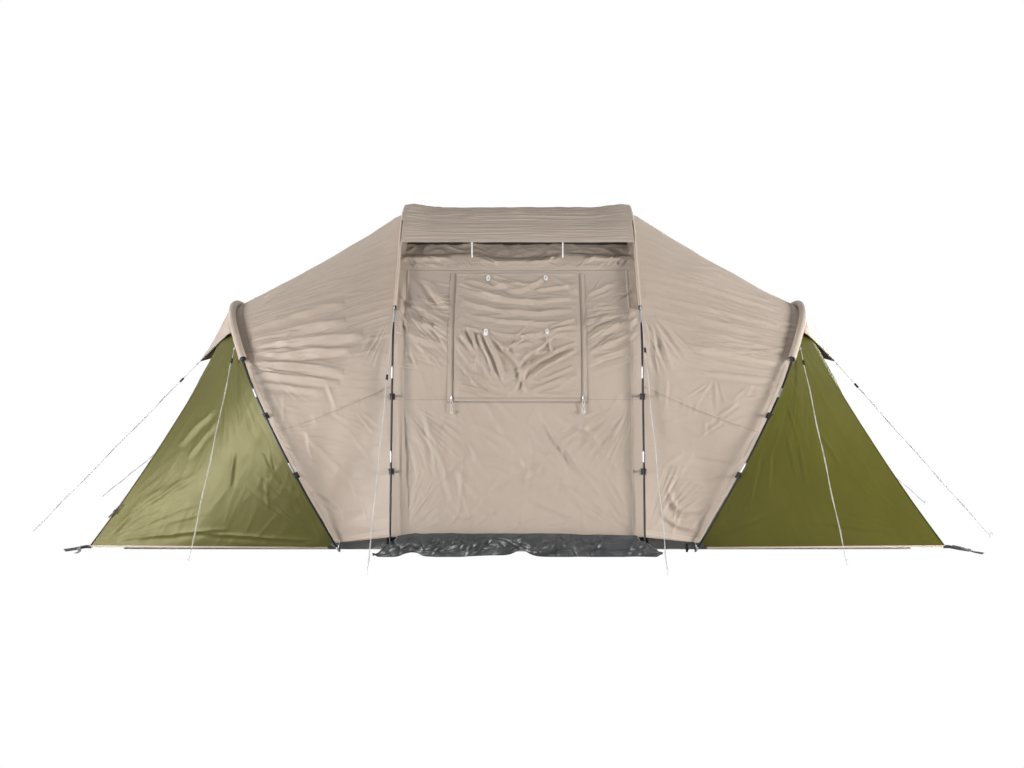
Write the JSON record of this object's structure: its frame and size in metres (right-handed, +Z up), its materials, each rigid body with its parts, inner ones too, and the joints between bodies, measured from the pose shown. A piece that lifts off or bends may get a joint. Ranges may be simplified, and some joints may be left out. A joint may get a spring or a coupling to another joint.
{
  "type": "family tent",
  "caption": "Tall living room between two hoop-ended sleeping cabins, with a front door, a covered window, a roof vent, hoods, guy lines and pegs.",
  "frame": {"origin": "on the ground at the middle of the tent", "axes": "+X along the tent's length, -Y out of the front door, +Z up"},
  "size_m": [6.2715, 4.9389, 1.897],
  "materials": {
    "fly": "coated polyester",
    "end_cloth": "coated polyester",
    "cabin_cloth": "light breathable polyester",
    "window_film": "clear film",
    "sheeting": "crumpled plastic sheeting",
    "pole": "fibreglass",
    "strut": "smooth",
    "slider": "cast",
    "webbing": "woven webbing",
    "cord": "braided cord",
    "runner": "moulded",
    "peg": "plated wire"
  },
  "bodies": {
    "tent": {"bedroom_fly_left": "fly", "bedroom_fly_right": "fly", "roof_fly": "fly", "rear_wall": "fly", "front_surround": "fly", "end_hood_left": "fly", "end_hood_right": "fly", "centre_sleeve_left": "fly", "centre_sleeve_right": "fly", "end_sleeve_left": "fly", "end_sleeve_right": "fly", "end_panel_left": "end_cloth", "end_panel_right": "end_cloth", "groundsheet": "sheeting", "cabin_left": "cabin_cloth", "cabin_right": "cabin_cloth", "centre_hoop_left": "pole", "centre_hoop_right": "pole", "end_hoop_left": "pole", "end_hoop_right": "pole", "corner_strap_front_left": "webbing", "corner_strap_front_right": "webbing", "corner_strap_rear_left": "webbing", "corner_strap_rear_right": "webbing", "guy_centre_left": "cord", "guy_centre_right": "cord", "guy_front_left": "cord", "guy_front_right": "cord", "guy_rear_left": "cord", "guy_rear_right": "cord", "guy_hood_left": "cord", "guy_hood_right": "cord", "peg_centre_left": "peg", "peg_centre_right": "peg", "peg_front_left": "peg", "peg_front_right": "peg", "peg_rear_left": "peg", "peg_rear_right": "peg", "peg_hood_left": "peg", "peg_hood_right": "peg"},
    "door": {"door_panel": "fly", "window_pane": "window_film"},
    "window_cover": {"window_cover": "fly"},
    "vent_flap": {"vent_flap": "fly"},
    "strut_left": {"vent_strut_left": "strut"},
    "strut_right": {"vent_strut_right": "strut"},
    "zip_left": {"window_zip_left": "slider", "window_zip_cord_left": "cord"},
    "zip_right": {"window_zip_right": "slider", "window_zip_cord_right": "cord"},
    "cabin_door_left": {"cabin_door_left": "cabin_cloth"},
    "cabin_door_right": {"cabin_door_right": "cabin_cloth"},
    "runner_centre_left": {"runner_centre_left": "runner"},
    "runner_centre_right": {"runner_centre_right": "runner"},
    "runner_front_left": {"runner_front_left": "runner"},
    "runner_front_right": {"runner_front_right": "runner"},
    "runner_rear_left": {"runner_rear_left": "runner"},
    "runner_rear_right": {"runner_rear_right": "runner"},
    "runner_hood_left": {"runner_hood_left": "runner"},
    "runner_hood_right": {"runner_hood_right": "runner"}
  },
  "joints": [
    {"name": "door_lift", "type": "hinge", "parent": "tent", "child": "door", "pos_m": [0, -0.56312, 1.47801], "axis": [-1, 0, 0], "range_deg": [0, 80]},
    {"name": "window_cover_lift", "type": "hinge", "parent": "door", "child": "window_cover", "pos_m": [0, -0.58089, 1.46084], "axis": [-1, 0, 0], "range_deg": [0, 60]},
    {"name": "zip_left_slide", "type": "slide", "parent": "door", "child": "zip_left", "axis": [0, 0.1782, 0.984], "range_m": [0, 0.25]},
    {"name": "zip_right_slide", "type": "slide", "parent": "door", "child": "zip_right", "axis": [0, 0.1782, 0.984], "range_m": [0, 0.25]},
    {"name": "vent_close", "type": "hinge", "parent": "tent", "child": "vent_flap", "pos_m": [0, -0.32913, 1.75396], "axis": [1, 0, 0], "range_deg": [0, 15]},
    {"name": "strut_left_fold", "type": "hinge", "parent": "tent", "child": "strut_left", "pos_m": [-0.245, -0.50903, 1.55], "axis": [0, -0.9896, -0.1441], "range_deg": [0, 90]},
    {"name": "strut_right_fold", "type": "hinge", "parent": "tent", "child": "strut_right", "pos_m": [0.245, -0.50903, 1.55], "axis": [0, 0.9896, 0.1441], "range_deg": [0, 90]},
    {"name": "cabin_door_left_swing", "type": "hinge", "parent": "tent", "child": "cabin_door_left", "pos_m": [-0.68, 0.24965, 0.62], "axis": [0, 0, 1], "range_deg": [0, 95]},
    {"name": "cabin_door_right_swing", "type": "hinge", "parent": "tent", "child": "cabin_door_right", "pos_m": [0.68, 0.24965, 0.62], "axis": [0, 0, -1], "range_deg": [0, 95]},
    {"name": "runner_centre_left_slide", "type": "slide", "parent": "tent", "child": "runner_centre_left", "axis": [-0.0208, -0.6397, -0.7683], "range_m": [-0.03, 0.3]},
    {"name": "runner_centre_right_slide", "type": "slide", "parent": "tent", "child": "runner_centre_right", "axis": [0.0208, -0.6397, -0.7683], "range_m": [-0.03, 0.3]},
    {"name": "runner_front_left_slide", "type": "slide", "parent": "tent", "child": "runner_front_left", "axis": [-0.0504, -0.6066, -0.7934], "range_m": [-0.03, 0.3]},
    {"name": "runner_front_right_slide", "type": "slide", "parent": "tent", "child": "runner_front_right", "axis": [0.0504, -0.6066, -0.7934], "range_m": [-0.03, 0.3]},
    {"name": "runner_rear_left_slide", "type": "slide", "parent": "tent", "child": "runner_rear_left", "axis": [-0.5691, 0.7489, -0.3395], "range_m": [-0.03, 0.3]},
    {"name": "runner_rear_right_slide", "type": "slide", "parent": "tent", "child": "runner_rear_right", "axis": [0.6038, 0.6807, -0.4148], "range_m": [-0.03, 0.3]},
    {"name": "runner_hood_left_slide", "type": "slide", "parent": "tent", "child": "runner_hood_left", "axis": [-0.7032, 0.0216, -0.7107], "range_m": [-0.03, 0.3]},
    {"name": "runner_hood_right_slide", "type": "slide", "parent": "tent", "child": "runner_hood_right", "axis": [0.647, -0.1072, -0.7549], "range_m": [-0.03, 0.3]}
  ],
  "couplings": [
    {"joint": "strut_left_fold", "follows": "vent_close", "ratio": 6},
    {"joint": "strut_right_fold", "follows": "vent_close", "ratio": 6}
  ]
}
